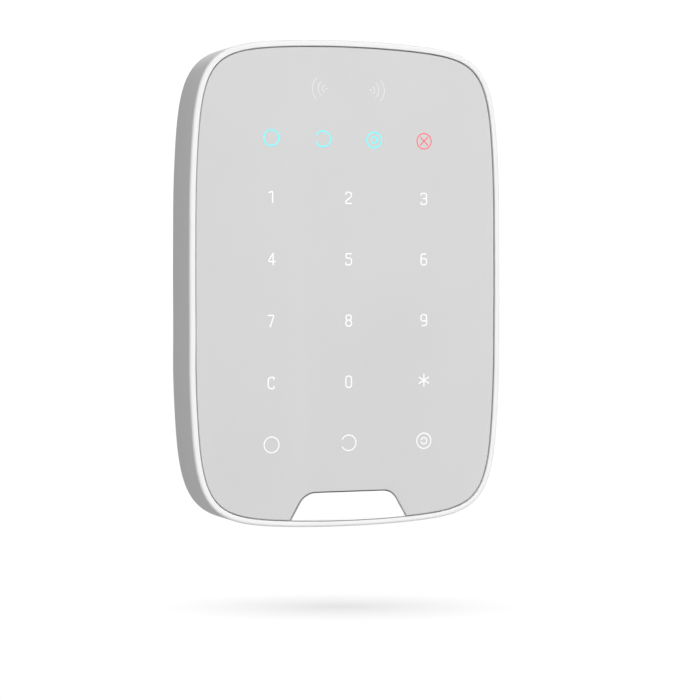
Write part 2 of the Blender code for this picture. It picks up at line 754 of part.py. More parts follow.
def power():
    """The on and off button in the rear cover, and its switch."""
    place(turned("power_button", POWER_SECTION, DARK, steps=20), POWER_X, POWER_Z)
    half = SWITCH_SIZE / 2
    box("power_switch", (POWER_X - half, POWER_X + half), (POWER_Z - half, POWER_Z + half),
        POWER_SWITCH, DARK)


# ---------------------------------------------------------------- cells

def battery():
    """Four cells laid head to tail, a spring at each one's flat end, a plate at the other."""
    half_x, half_z = HOLDER_HALF_INSIDE
    inner_radius, outer_radius = HOLDER_RADII
    inside = rounded_box(0.0, HOLDER_CENTRE_Z, 2 * half_x, 2 * half_z, inner_radius, 2)
    outside = rounded_box(0.0, HOLDER_CENTRE_Z, 2 * (half_x + HOLDER_WALL),
                          2 * (half_z + HOLDER_WALL), outer_radius, 2)
    plate("battery_holder", [outside, inside], HOLDER, DARK)

    nub_radius, nub = CELL_NUB
    foot = -half_z + GAP + SPRING_LENGTH + 2 * SPRING_WIRE + GAP
    top = foot + CELL_LENGTH
    profile = [(0.0, top + nub), (nub_radius, top + nub), (nub_radius, top),
               (CELL_RADIUS - CELL_CHAMFER, top), (CELL_RADIUS, top - CELL_CHAMFER),
               (CELL_RADIUS, foot + CELL_CHAMFER), (CELL_RADIUS - CELL_CHAMFER, foot),
               (0.0, foot)]
    for i in range(CELLS):
        x = (i - (CELLS - 1) / 2) * CELL_PITCH
        flip = Matrix.Rotation(math.pi * (i % 2), 4, "X")
        cell = turned(f"battery_cell_{i + 1}", profile, CELL_SLEEVE, steps=20)
        place(cell, x, HOLDER_CENTRE_Z, CELL_DEPTH, flip)

        start = -half_z + GAP + SPRING_WIRE
        points = coil(SPRING_TURNS, SPRING_RADII, (start, start + SPRING_LENGTH))
        spring = wire(f"cell_spring_{i + 1}", [(a, along, b) for a, b, along in points],
                      SPRING_WIRE, STEEL)
        place(spring, x, HOLDER_CENTRE_Z, CELL_DEPTH, flip)

        plate_half, thickness = CONTACT_PLATE
        end = HOLDER_CENTRE_Z + (half_z - GAP) * (1 if i % 2 == 0 else -1)
        other = end - thickness * (1 if i % 2 == 0 else -1)
        box(f"cell_contact_{i + 1}", (x - plate_half, x + plate_half), sorted((end, other)),
            (CELL_DEPTH - plate_half, CELL_DEPTH + plate_half), STEEL)


wall_bracket()
lock_screw()
rear_cover()
cover_screws()
front_housing()
front_panel()
lights()
boards()
battery()
tamper()
power()
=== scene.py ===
"""Looks of the wireless alarm keypad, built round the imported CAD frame.

Lengths in this script are in millimetres unless a comment says otherwise; MM turns them
into metres. A place on the front is (x, z) and a depth, the distance out from the wall.
"""

import math

import bmesh
import bpy
import numpy as np
from mathutils import Matrix, Vector


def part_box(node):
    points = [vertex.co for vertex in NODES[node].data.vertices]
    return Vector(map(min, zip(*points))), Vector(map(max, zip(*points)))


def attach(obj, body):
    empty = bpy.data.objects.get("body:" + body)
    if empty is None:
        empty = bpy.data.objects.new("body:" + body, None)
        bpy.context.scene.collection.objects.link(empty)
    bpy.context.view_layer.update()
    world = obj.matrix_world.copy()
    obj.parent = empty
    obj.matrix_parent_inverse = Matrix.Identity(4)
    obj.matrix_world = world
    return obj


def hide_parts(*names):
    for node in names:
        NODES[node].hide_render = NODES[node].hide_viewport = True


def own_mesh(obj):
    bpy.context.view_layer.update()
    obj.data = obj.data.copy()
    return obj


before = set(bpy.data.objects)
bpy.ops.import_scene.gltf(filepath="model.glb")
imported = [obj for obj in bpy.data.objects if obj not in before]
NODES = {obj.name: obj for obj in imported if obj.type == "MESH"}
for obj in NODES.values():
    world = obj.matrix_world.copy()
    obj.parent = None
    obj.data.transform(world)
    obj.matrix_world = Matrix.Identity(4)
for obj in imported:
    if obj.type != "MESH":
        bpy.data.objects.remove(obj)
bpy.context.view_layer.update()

MM = 0.001
SMOOTH_ANGLE = math.radians(35.0)

# The body's outline, as in the CAD: a superellipse whose sides bow outwards and are a
# little fuller between their middle and their ends
OUTLINE_POWER = 7.68
SIDE_BOW = 2.23
END_BOW = 3.95
FULLNESS = 0.15
FULL_AT = 0.4
FULL_SPREAD = 0.16
OUTLINE_SAMPLES = 8000
OUTLINE_POINTS = 640

# The moulded front: the housing's wall and rim, the panel and the badge
HOUSING_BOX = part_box("front_housing")
PANEL_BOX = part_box("front_panel")
BADGE_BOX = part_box("badge_plate")
HALF_WIDTH = HOUSING_BOX[1].x / MM
HALF_HEIGHT = HOUSING_BOX[1].z / MM
DEPTH = -HOUSING_BOX[0].y / MM
REAR_EDGE = -HOUSING_BOX[1].y / MM
PANEL_INSET = HALF_HEIGHT - PANEL_BOX[1].z / MM
PANEL_FRONT = -PANEL_BOX[0].y / MM
PANEL_REAR = -PANEL_BOX[1].y / MM
BADGE_FRONT = -BADGE_BOX[0].y / MM
GAP = 0.3
# How far the outlines are drawn in from the CAD's, or let out where negative, to suit the
# look of the rim and its gap
BODY_TRIM = {"right": 0.22, "top": 0.12, "foot": 0.33, "left_foot": -0.2}
RIM_TRIM = {"left": 0.12, "right": 0.14, "top": 0.12, "foot": 0.06, "left_foot": -0.2}
PANEL_TRIM = {"left": 0.14, "right": 0.14, "top": 0.2, "foot": 0.13, "left_top": 0.12,
              "left_foot": -0.12}
BADGE_TRIM = {"foot": -0.03}
# The upper left trim is whole where across times up, each as a share of its half size, is
# CORNER_SPREAD, and falls off to the power of CORNER_POWER
CORNER_SPREAD = 0.8
CORNER_POWER = 4
# The lower left trim sets in over this part of the half height below the middle
LEFT_FOOT = (0.15, 0.4)
RIM_INSET = PANEL_INSET - GAP
WALL = 2.0
LEDGE_INSET = 4.4
LEDGE = (16.5, 17.7)
LEDGE_SLOPE_DEPTH = 15.2
EDGE_RADIUS = 0.85
REAR_RADIUS = 0.4
LIP_RADIUS = 0.22
PANEL_EDGE = 0.35
BADGE_EDGE = 0.25
# The opening for the bracket's lip: width, depth and height, then where its middle is
NOTCH_SIZE = (17.2, 11.8, 5.0)
NOTCH_PLACE = (0.0, -81.5, 4.9)

# Posts for the cover's screws, each with a web into the wall
COVER_SCREWS = [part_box(f"cover_screw_{i}") for i in range(1, 7)]
POST_RADIUS = 2.6
POST_LENGTH = 7.4
POST_DEPTHS = (4.5, 17.0)
POST_BORE_RADIUS = 1.2
POST_BORE_DEPTHS = (3.5, 12.0)
POST_STEPS = 16
POST_BORE_SIDES = 32

# Badge trapezoid, drawn on past the panel's lower edge
BADGE_TOP_Z = -70.55
BADGE_FOOT_Z = -90.0
BADGE_GAP_ABOVE = 0.33
# On its right and on its left: half the top's width, the corner's radius and the gap beside it
BADGE_SIDES = ((15.73, 5.2, 0.42), (15.55, 6.8, 0.48))
BADGE_SLOPE = math.radians(30.0)
BADGE_CORNER_STEPS = 24

# Keys and symbols; a print stands from its root below the panel's face to its rise above it,
# and each further stroke of a symbol is a step higher
KEY_PITCH_X = 27.7
KEY_PITCH_Z = 20.77
FIRST_ROW_Z = 29.26
INDICATOR_Z = 49.0
READER_Z = 65.9
READER_DOT_X = 8.07
PRINT_RISE = 0.03
PRINT_ROOT = 0.04
PRINT_STEP = 0.004
DIGIT_STROKE = 0.45
RING_STROKE = 0.39
CYAN_STROKE = 0.43
RED_STROKE = 0.34
READER_STROKE = 0.34
READER_DOT_RADIUS = 0.18

# Inside: the cells' middle and where their coloured band starts, in metres
CELL_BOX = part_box("battery_cell_1")
CELL_CENTRE_Z = (CELL_BOX[0].z + CELL_BOX[1].z) / 2
CELL_BAND_FOOT = 0.0125
REPLACED = ("front_housing", "front_panel", "badge_plate", "tamper_spring")

# Tamper spring: it shortens between the plunger's flange and its seat as the plunger goes in
SPRING_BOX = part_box("tamper_spring")
SPRING_WIRE = 0.22
SPRING_TURNS = 4
SPRING_STEPS = 36
SPRING_SIDES = 12
SPRING_SEAT_DEPTH = -SPRING_BOX[0].y / MM
SPRING_REAR_DEPTH = -SPRING_BOX[1].y / MM

# Camera, fitted to the view the object is seen from
CAMERA_TURN = math.radians(21.0)
CAMERA_TILT = math.radians(1.7615)
CAMERA_PLACE = (-0.28049, -0.73199 - PANEL_FRONT * MM, 0.00183)
CAMERA_LENS = 118.85
CAMERA_SENSOR = 36.0

# Studio: brightness is 1 where a white surface comes out white; directions point to the light
FLOOR_Z = -0.1095
FLOOR_HALF = 6.0
FLOOR_GLOW = 1.01
# The floor's shadow below the object is painted: an oval in the floor's glow, darker towards its
# middle and turned square to the camera. The object doesn't cast it.
SHADE_CENTRE = (-0.0036, -0.02)
SHADE_HALF = (0.068, 0.038)
SHADE_GLOW = 0.775
SHADE_POWER = 1.35
KEY_LIGHT = (0.22, -0.905, 0.368)
KEY_EDGE = math.radians(50.0)
KEY_CORE = math.radians(10.0)
KEY_GLOW = 2.29
AMBIENT = 0.372
# Added to the surroundings straight above and straight below
FROM_ABOVE = 0.04
FROM_BELOW = 0.12
BACK_LIGHT = (0.37, 0.75, 0.55)
BACK_SPREAD = math.radians(10.0)
BACK_STRENGTH = 2.4
BACKDROP_STRENGTH = 1.05


# ---------------------------------------------------------------- node materials

class Nodes:
    """A short way to write a node material."""

    def __init__(self, name):
        self.material = bpy.data.materials.new(name)
        self.material.use_nodes = True
        self.tree = self.material.node_tree
        self.shader = self.tree.nodes["Principled BSDF"]
        self.place = self.add("ShaderNodeTexCoord").outputs["Object"]

    def add(self, kind, **values):
        node = self.tree.nodes.new(kind)
        for key, value in values.items():
            setattr(node, key, value)
        return node

    def link(self, output, socket):
        self.tree.links.new(output, socket)

    def set(self, socket, value):
        self.shader.inputs[socket].default_value = value

    def noise(self, scale, detail=2.0, rough=0.5, stretch=(1, 1, 1)):
        """Noise at a scale per metre, squeezed along each axis by stretch."""
        where = self.place
        if stretch != (1, 1, 1):
            mapping = self.add("ShaderNodeMapping")
            mapping.inputs["Scale"].default_value = stretch
            self.link(where, mapping.inputs["Vector"])
            where = mapping.outputs["Vector"]
        node = self.add("ShaderNodeTexNoise")
        node.inputs["Scale"].default_value = scale
        node.inputs["Detail"].default_value = detail
        node.inputs["Roughness"].default_value = rough
        self.link(where, node.inputs["Vector"])
        return node.outputs["Fac"]

    def spread(self, value, low, high, floor=0.3, ceiling=0.7):
        """Maps a noise value from floor..ceiling to low..high."""
        node = self.add("ShaderNodeMapRange")
        node.inputs["From Min"].default_value = floor
        node.inputs["From Max"].default_value = ceiling
        node.inputs["To Min"].default_value = low
        node.inputs["To Max"].default_value = high
        self.link(value, node.inputs["Value"])
        return node.outputs["Result"]

    def tint(self, value, dark, light, low=0.3, high=0.7):
        """A colour between dark and light, led by value."""
        node = self.add("ShaderNodeValToRGB")
        node.color_ramp.elements[0].position = low
        node.color_ramp.elements[0].color = (*dark, 1.0)
        node.color_ramp.elements[1].position = high
        node.color_ramp.elements[1].color = (*light, 1.0)
        self.link(value, node.inputs["Fac"])
        return node.outputs["Color"]

    def bump(self, height, strength, distance):
        """A normal from a height; the distance is in metres."""
        node = self.add("ShaderNodeBump")
        node.inputs["Strength"].default_value = strength
        node.inputs["Distance"].default_value = distance
        self.link(height, node.inputs["Height"])
        return node.outputs["Normal"]

    def finish(self, color=None, roughness=None, normal=None):
        """Links what the shader is led by, and gives the material."""
        for output, socket in ((color, "Base Color"), (roughness, "Roughness"),
                               (normal, "Normal")):
            if output is not None:
                self.link(output, self.shader.inputs[socket])
        return self.material


def gray(value, warmth=0.0):
    return (value + warmth, value, value - warmth)


def moulded(name, value, roughness, grain, depth, warmth=0.0, specular=0.4):
    """Moulded plastic: a fine spark-eroded grain and a very faint mottle."""
    m = Nodes(name)
    mottle = m.noise(90.0, 3.0)
    fine = m.noise(grain, 3.0, 0.6)
    color = m.tint(mottle, gray(value * 0.985, warmth), gray(min(value * 1.008, 1.0), warmth))
    rough = m.spread(fine, roughness - 0.04, roughness + 0.05)
    m.set("Specular IOR Level", specular)
    return m.finish(color, rough, m.bump(fine, 0.35, depth))


# ---------------------------------------------------------------- outlines

def spread_points(x, z, count):
    """Even points on a closed line, half by length and half by how far it turns."""
    step_x = np.roll(x, -1) - np.roll(x, 1)
    step_z = np.roll(z, -1) - np.roll(z, 1)
    heading = np.unwrap(np.arctan2(step_z, step_x))
    turn = np.append(heading - heading[0], 2 * math.pi) / (2 * math.pi)
    side = np.hypot(np.diff(x, append=x[0]), np.diff(z, append=z[0]))
    run = np.append(0.0, np.cumsum(side)) / side.sum()
    wanted = np.arange(count) / count
    where = (turn + run) / 2
    return (np.interp(wanted, where, np.append(x, x[0])),
            np.interp(wanted, where, np.append(z, z[0])))


def body_outline(inset, count=OUTLINE_POINTS):
    """The body's outline pulled in by inset, anticlockwise seen from the front."""
    angle = np.linspace(0.0, 2 * math.pi, OUTLINE_SAMPLES, endpoint=False)
    reach = (np.abs(np.cos(angle)) ** OUTLINE_POWER
             + np.abs(np.sin(angle)) ** OUTLINE_POWER) ** (-1 / OUTLINE_POWER)
    across = np.cos(angle) * reach
    up = np.sin(angle) * reach
    fuller = FULLNESS * np.exp(-((np.abs(up) - FULL_AT) / FULL_SPREAD) ** 2)
    x = (HALF_WIDTH + fuller) * across - SIDE_BOW * up ** 2 * across
    z = HALF_HEIGHT * up - END_BOW * across ** 2 * up
    x, z = spread_points(x, z, count)
    return offset_loop(np.column_stack((x, z)), -inset)


def offset_loop(loop, distance):
    """A closed anticlockwise loop pushed outwards by distance, with mitred corners."""
    back = loop - np.roll(loop, 1, axis=0)
    ahead = np.roll(loop, -1, axis=0) - loop
    back = back / np.linalg.norm(back, axis=1)[:, None]
    ahead = ahead / np.linalg.norm(ahead, axis=1)[:, None]
    normal_back = np.column_stack((back[:, 1], -back[:, 0]))
    normal_ahead = np.column_stack((ahead[:, 1], -ahead[:, 0]))
    miter = normal_back + normal_ahead
    miter = miter / np.linalg.norm(miter, axis=1)[:, None]
    stretch = np.clip((miter * normal_back).sum(axis=1), 0.5, 1.0)
    return loop + miter * (distance / stretch)[:, None]


def badge_path(gapped=False):
    """The badge trapezoid's sides and top, from right foot to left foot, or its notch's."""
    above = BADGE_GAP_ABOVE if gapped else 0.0
    slope = math.tan(BADGE_SLOPE)
    paths = []
    for half_width, radius, beside in BADGE_SIDES:
        if gapped:
            half_width += beside / math.cos(BADGE_SLOPE)
            radius += above
        foot_x = half_width + (BADGE_TOP_Z - BADGE_FOOT_Z) * slope
        centre_x = (half_width - above * slope
                    - radius * math.tan((math.pi / 2 - BADGE_SLOPE) / 2))
        corner = arc(centre_x, BADGE_TOP_Z + above - radius, radius,
                     math.degrees(BADGE_SLOPE), 90.0, BADGE_CORNER_STEPS)
        paths.append(np.vstack(([(foot_x, BADGE_FOOT_Z)], corner)))
    right, left = paths
    return np.vstack((right, left[::-1] * (-1, 1)))


def crossing(path, loop):
    """Where an open path first crosses a closed loop: (path index, loop index, point)."""
    for i in range(len(path) - 1):
        p, d = path[i], path[i + 1] - path[i]
        for j in range(len(loop)):
            q = loop[j]
            e = loop[(j + 1) % len(loop)] - q
            across = d[0] * e[1] - d[1] * e[0]
            if abs(across) < 1e-12:
                continue
            t = ((q[0] - p[0]) * e[1] - (q[1] - p[1]) * e[0]) / across
            s = ((q[0] - p[0]) * d[1] - (q[1] - p[1]) * d[0]) / across
            if 0.0 <= t < 1.0 and 0.0 <= s < 1.0:
                return i, j, p + d * t
    raise ValueError("the paths do not cross")


def part_inside(path, loop):
    """An open path's two crossings of a loop, as (loop index, point), and its points between."""
    first, at_right, right = crossing(path, loop)
    last, at_left, left = crossing(path[::-1], loop)
    inside = list(path[first + 1:len(path) - 1 - last])
    return (at_right, right), (at_left, left), inside


def panel_and_badge_loops():
    """The panel's outline round its badge notch, and the badge's own outline."""
    outline = body_outline(PANEL_INSET)
    panel = trimmed(outline, **PANEL_TRIM)
    (at_right, right), (at_left, left), notch = part_inside(badge_path(gapped=True), panel)
    around = list(panel[at_right + 1:]) + list(panel[:at_left + 1])
    panel = np.array([right] + around + [left] + notch[::-1])

    badge = trimmed(outline, **BADGE_TRIM)
    (at_right, right), (at_left, left), sides = part_inside(badge_path(), badge)
    foot = list(badge[at_left + 1:at_right + 1])
    badge = np.array([right] + sides + [left] + foot)
    return panel, badge


# ---------------------------------------------------------------- mesh pieces

def at(x, z, depth):
    """A point on the object in metres."""
    return (x * MM, -depth * MM, z * MM)


def piece(name, mesh, material, body="keypad"):
    """Makes a mesh a piece of the object, riding on a body."""
    obj = bpy.data.objects.new(name, mesh)
    bpy.context.scene.collection.objects.link(obj)
    mesh.materials.clear()
    mesh.materials.append(material)
    mesh.shade_smooth()
    mesh.set_sharp_from_angle(angle=SMOOTH_ANGLE)
    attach(obj, body)
    return obj


def mesh_of(shape, name):
    bmesh.ops.recalc_face_normals(shape, faces=shape.faces)
    mesh = bpy.data.meshes.new(name)
    shape.to_mesh(mesh)
    shape.free()
    return mesh


def trimmed(loop, left=0.0, right=0.0, top=0.0, foot=0.0, left_top=0.0, left_foot=0.0):
    """A loop drawn in by these amounts, or let out where they are negative.

    The trims of the top and foot fade out towards the left, where their own corners' come in.
    """
    across = loop[:, 0] / HALF_WIDTH
    up = loop[:, 1] / HALF_HEIGHT
    on_left = np.maximum(-across, 0.0)
    near_top = (on_left * np.maximum(up, 0.0) / CORNER_SPREAD) ** CORNER_POWER
    start, end = LEFT_FOOT
    below = np.clip((-up - start) / (end - start), 0.0, 1.0)
    near_foot = on_left ** 2 * below ** 2 * (3 - 2 * below)
    fade = np.clip(1.0 + across, 0.0, 1.0)
    drawn = np.column_stack((np.where(across > 0, right, left) * across,
                             np.where(up > 0, top, foot) * up * fade))
    return offset_loop(loop, -left_top * near_top - left_foot * near_foot) - drawn


def loft(shape, loop, rows, closed_section=False):
    """Joins offset copies of a loop; rows are (outward offset, depth) and perhaps a trim."""
    rings = []
    for offset, depth, *trim in rows:
        moved = offset_loop(loop, offset) if offset else loop
        if trim:
            moved = trimmed(moved, **trim[0])
        rings.append([shape.verts.new(at(x, z, depth)) for x, z in moved])
    count = len(loop)
    pairs = list(zip(rings, rings[1:]))
    if closed_section:
        pairs.append((rings[-1], rings[0]))
    for low, high in pairs:
        for i in range(count):
            j = (i + 1) % count
            shape.faces.new((low[i], low[j], high[j], high[i]))
    if not closed_section:
        shape.faces.new(rings[0][::-1])
        shape.faces.new(rings[-1])


def arc_rows(centre_offset, centre_depth, radius, start, end, steps):
    """Section points round an edge, angles in degrees from the outward side to the front."""
    rows = []
    for i in range(steps + 1):
        a = math.radians(start + (end - start) * i / steps)
        rows.append((centre_offset + radius * math.cos(a), centre_depth + radius * math.sin(a)))
    return rows


def housing_rows():
    """The housing wall's section as (outward offset, depth)."""
    outer = arc_rows(-REAR_RADIUS, REAR_EDGE + REAR_RADIUS, REAR_RADIUS, -90, 0, 5)
    outer += arc_rows(-EDGE_RADIUS, DEPTH - EDGE_RADIUS, EDGE_RADIUS, 0, 90, 12)
    inner = arc_rows(LIP_RADIUS - RIM_INSET, DEPTH - LIP_RADIUS, LIP_RADIUS, 90, 180, 4)
    inner.append((-RIM_INSET, LEDGE[1]))
    rows = [(*row, BODY_TRIM) for row in outer] + [(*row, RIM_TRIM) for row in inner]
    rows += [(-LEDGE_INSET, LEDGE[1]), (-LEDGE_INSET, LEDGE[0]),
             (-WALL, LEDGE_SLOPE_DEPTH), (-WALL, REAR_EDGE)]
    return rows


def housing():
    """One moulding: the wall and rim, six screw posts, and the opening for the bracket's lip."""
    shape = bmesh.new()
    loft(shape, body_outline(0.0), housing_rows(), closed_section=True)
    shell = piece("housing_shell", mesh_of(shape, "housing_shell"), HOUSING)

    posts, bores, notch = bmesh.new(), bmesh.new(), bmesh.new()
    for screw in COVER_SCREWS:
        x, z = middle_of(screw)
        bore = ring(x, z, POST_BORE_RADIUS, POST_BORE_SIDES)
        loft(posts, post_loop(x, z), [(0.0, depth) for depth in POST_DEPTHS])
        loft(bores, bore, [(0.0, depth) for depth in POST_BORE_DEPTHS])
    bmesh.ops.create_cube(notch, size=1.0)
    bmesh.ops.scale(notch, vec=[side * MM for side in NOTCH_SIZE], verts=notch.verts)
    bmesh.ops.translate(notch, vec=at(*NOTCH_PLACE), verts=notch.verts)
    tools = []
    for name, tool, operation in (("posts", posts, "UNION"), ("bores", bores, "DIFFERENCE"),
                                  ("notch", notch, "DIFFERENCE")):
        tools.append(bpy.data.objects.new(name, mesh_of(tool, name)))
        bpy.context.scene.collection.objects.link(tools[-1])
        combine(shell, tools[-1], operation)
    apply_modifiers(shell)
    for tool in tools:
        bpy.data.objects.remove(tool, do_unlink=True)
    shell.data.set_sharp_from_angle(angle=SMOOTH_ANGLE)
    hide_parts("front_housing")


def middle_of(box):
    """The x and z of a box's middle."""
    low, high = box
    return (low.x + high.x) / 2 / MM, (low.z + high.z) / 2 / MM


def post_loop(x, z):
    """A post's section: round the screw, and straight out to the wall."""
    out = math.copysign(1.0, x)
    centres = (x, x + out * (POST_LENGTH - 2 * POST_RADIUS))
    right, left = max(centres), min(centres)
    return np.vstack((arc(right, z, POST_RADIUS, -90, 90, POST_STEPS),
                      arc(left, z, POST_RADIUS, 90, 270, POST_STEPS)))


def combine(obj, tool, operation):
    """Adds a Boolean to obj; apply_modifiers() carries it out."""
    modifier = obj.modifiers.new(tool.name, "BOOLEAN")
    modifier.operation = operation
    modifier.solver = "EXACT"
    modifier.object = tool


def apply_modifiers(obj):
    bpy.context.view_layer.update()
    graph = bpy.context.evaluated_depsgraph_get()
    mesh = bpy.data.meshes.new_from_object(obj.evaluated_get(graph))
    obj.modifiers.clear()
    obj.data = mesh


def front():
    """The touch panel and the badge: flat plates with a rounded front edge."""
    panel_loop, badge_loop = panel_and_badge_loops()
    for name, loop, depth, edge, material, slot, node in (
            ("touch_panel", panel_loop, PANEL_FRONT, PANEL_EDGE, PANEL, "panel_grey",
             "front_panel"),
            ("badge_blank", badge_loop, BADGE_FRONT, BADGE_EDGE, BADGE, "badge_white",
             "badge_plate")):
        shape = bmesh.new()
        rows = [(0.0, PANEL_REAR)] + arc_rows(-edge, depth - edge, edge, 0, 90, 4)
        loft(shape, loop, rows)
        part = piece(name, mesh_of(shape, name), material)
        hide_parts(node)


def tamper_spring():
    """A wire coil between its seat and the plunger's flange, with a mesh of its own."""
    centre_x, centre_z = middle_of(SPRING_BOX)
    radius = (SPRING_BOX[1].x - SPRING_BOX[0].x) / 2 / MM - SPRING_WIRE
    length = SPRING_SEAT_DEPTH - SPRING_REAR_DEPTH
    steps = SPRING_TURNS * SPRING_STEPS
    shape = bmesh.new()
    rings = []
    for i in range(steps + 1):
        a = 2 * math.pi * i / SPRING_STEPS
        depth = SPRING_REAR_DEPTH + SPRING_WIRE + (length - 2 * SPRING_WIRE) * i / steps
        section = []
        for k in range(SPRING_SIDES):
            b = 2 * math.pi * k / SPRING_SIDES
            reach = radius + SPRING_WIRE * math.cos(b)
            section.append(shape.verts.new(at(
                centre_x + reach * math.cos(a), centre_z + reach * math.sin(a),
                depth + SPRING_WIRE * math.sin(b))))
        rings.append(section)
    for low_ring, high_ring in zip(rings, rings[1:]):
        for k in range(SPRING_SIDES):
            j = (k + 1) % SPRING_SIDES
            shape.faces.new((low_ring[k], low_ring[j], high_ring[j], high_ring[k]))
    shape.faces.new(rings[0][::-1])
    shape.faces.new(rings[-1])
    spring = piece("tamper_coil", mesh_of(shape, "tamper_coil"), SPRING)
    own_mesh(spring)
    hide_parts("tamper_spring")


# ---------------------------------------------------------------- symbols

def rounded(points, radius, closed=False, steps=8):
    """A polyline whose corners are turned into arcs; radius is one value or one a corner."""
    count = len(points)
    radii = radius if isinstance(radius, (list, tuple)) else [radius] * count
    out = []
    for i, point in enumerate(points):
        p = np.array(point, float)
        if not closed and i in (0, count - 1):
            out.append(p)
            continue
        before = np.array(points[i - 1], float) - p
        after = np.array(points[(i + 1) % count], float) - p
        before_length, after_length = np.linalg.norm(before), np.linalg.norm(after)
        before, after = before / before_length, after / after_length
        half = math.acos(float(np.clip(before @ after, -1, 1))) / 2
        cut = min(radii[i] / math.tan(half), before_length / 2.001, after_length / 2.001)
        bow = cut * math.tan(half)
        middle = before + after
        centre = p + middle / np.linalg.norm(middle) * math.hypot(cut, bow)
        start, end = p + before * cut - centre, p + after * cut - centre
        first = math.atan2(start[1], start[0])
        sweep = math.atan2(end[1], end[0]) - first
        sweep = (sweep + math.pi) % (2 * math.pi) - math.pi
        for k in range(steps + 1):
            a = first + sweep * k / steps
            out.append(centre + bow * np.array((math.cos(a), math.sin(a))))
    return np.array(out)


def arc(x, z, radius, start, end, steps):
    """Points of an arc, with its angles in degrees."""
    angles = [math.radians(start + (end - start) * i / steps) for i in range(steps + 1)]
    return np.array([(x + radius * math.cos(a), z + radius * math.sin(a)) for a in angles])


def ring(x, z, radius, steps=64):
    """Points of a whole circle, the last one short of the first."""
    return arc(x, z, radius, 0.0, 360.0 * (steps - 1) / steps, steps - 1)


def ribbon(path, width, top, closed):
    """A flat printed ribbon with round ends, from just below the panel's face up to top."""
    shape = bmesh.new()
    levels = (PANEL_FRONT - PRINT_ROOT, PANEL_FRONT + top)
    if closed:
        sides = [offset_loop(path, reach) for reach in (width / 2, -width / 2)]
    else:
        sides = [path + side_steps(path) * reach for reach in (width / 2, -width / 2)]
    right, left = [[[shape.verts.new(at(x, z, depth)) for x, z in side] for depth in levels]
                   for side in sides]
    count = len(path)
    for i in range(count if closed else count - 1):
        j = (i + 1) % count
        for a, b in ((right[0], right[1]), (right[1], left[1]), (left[1], left[0]),
                     (left[0], right[0])):
            shape.faces.new((a[i], a[j], b[j], b[i]))
    if not closed:
        for end, before in ((count - 1, count - 2), (0, 1)):
            away = path[end] - path[before]
            first, last = (right, left) if end else (left, right)
            rims = [[first[k][end]] + [shape.verts.new(at(x, z, levels[k]))
                                       for x, z in cap(path[end], away, width / 2)]
                    + [last[k][end]] for k in (0, 1)]
            shape.faces.new(rims[0][::-1])
            shape.faces.new(rims[1])
            for i in range(len(rims[0]) - 1):
                shape.faces.new((rims[0][i], rims[0][i + 1], rims[1][i + 1], rims[1][i]))
    return mesh_of(shape, "ribbon")


def side_steps(path):
    """From each point of an open path to its right side, one unit of width away."""
    along = np.diff(path, axis=0)
    along = along / np.linalg.norm(along, axis=1)[:, None]
    normal = np.column_stack((along[:, 1], -along[:, 0]))
    before = np.vstack((normal[:1], normal))
    after = np.vstack((normal, normal[-1:]))
    miter = before + after
    miter = miter / np.linalg.norm(miter, axis=1)[:, None]
    return miter / np.clip((miter * before).sum(axis=1), 0.5, 1.0)[:, None]


def cap(point, ahead, radius, steps=7):
    """The points of a round end, between its two sides."""
    first = math.atan2(ahead[1], ahead[0]) - math.pi / 2
    return [(point[0] + radius * math.cos(first + math.pi * i / steps),
             point[1] + radius * math.sin(first + math.pi * i / steps))
            for i in range(1, steps)]


# Figures as (points, corner radius or radii, closed) strokes about their centre; W and H are
# half a figure's width and height, R its round corners' radius and BEND its tight ones'
W, H, R, BEND = 1.02, 1.9, 0.82, 0.3
GLYPHS = {
    "0": [([(-W, H), (-W, -H), (W, -H), (W, H)], R, True)],
    "1": [([(-0.85, 1.45), (0.48, H), (0.48, -H)], BEND, False)],
    "2": [([(-W, 1.1), (-W, H), (W, H), (W, 0.45), (-W, -1.05), (-W, -H), (W, -H)],
           [0, R, R, 0.9, 0.5, BEND, 0], False)],
    "3": [([(-W, 1.2), (-W, H), (W, H), (W, 0.12), (-0.25, 0.12)], [0, R, R, 0.75, 0], False),
          ([(-0.25, 0.12), (W, 0.12), (W, -H), (-W, -H), (-W, -1.2)], [0, 0.75, R, R, 0], False)],
    "4": [([(0.55, H), (-1.25, -0.85), (1.25, -0.85)], BEND, False),
          ([(0.55, H), (0.55, -H)], 0.0, False)],
    "5": [([(0.95, H), (-0.92, H), (-0.92, 0.42), (W, 0.42), (W, -H), (-W, -H), (-W, -1.15)],
           [0, BEND, BEND, R, R, R, 0], False)],
    "6": [([(-W, 0.35), (-W, -H), (W, -H), (W, 0.35)], R, True),
          ([(0.75, H), (-W, H), (-W, -0.6)], [0, R, 0], False)],
    "7": [([(-W, H), (1.05, H), (-0.3, -H)], BEND, False)],
    "8": [([(-0.94, H), (-0.94, 0.12), (0.94, 0.12), (0.94, H)], 0.8, True),
          ([(-W, 0.12), (-W, -H), (W, -H), (W, 0.12)], 0.85, True)],
    "9": [([(-W, H), (-W, -0.35), (W, -0.35), (W, H)], R, True),
          ([(-0.75, -H), (W, -H), (W, 0.6)], [0, R, 0], False)],
    "C": [([(W, 1.2), (W, H), (-W, H), (-W, -H), (W, -H), (W, -1.2)],
           [0, W, W, W, W, 0], False)],
}
# How far a figure stands to the right of its key's middle
GLYPH_SHIFTS = {"4": 0.07, "7": -0.14, "C": -0.13, "3": -0.08, "6": -0.1, "9": -0.06}
STAR_ARMS = (90.0, 30.0, -30.0)
STAR_REACH = 2.05
STAR_RISE = 0.08

# Rings: their gaps are half angles, and a reader's waves are each a radius and a half angle
RING_RADIUS = 2.64
INNER_RING_RADIUS = 1.08
RING_GAP = 30.0
INNER_GAP = 20.0
CROSS_REACH = 1.37
READER_WAVES = ((1.37, 58.0), (2.9, 51.0), (4.95, 45.0))


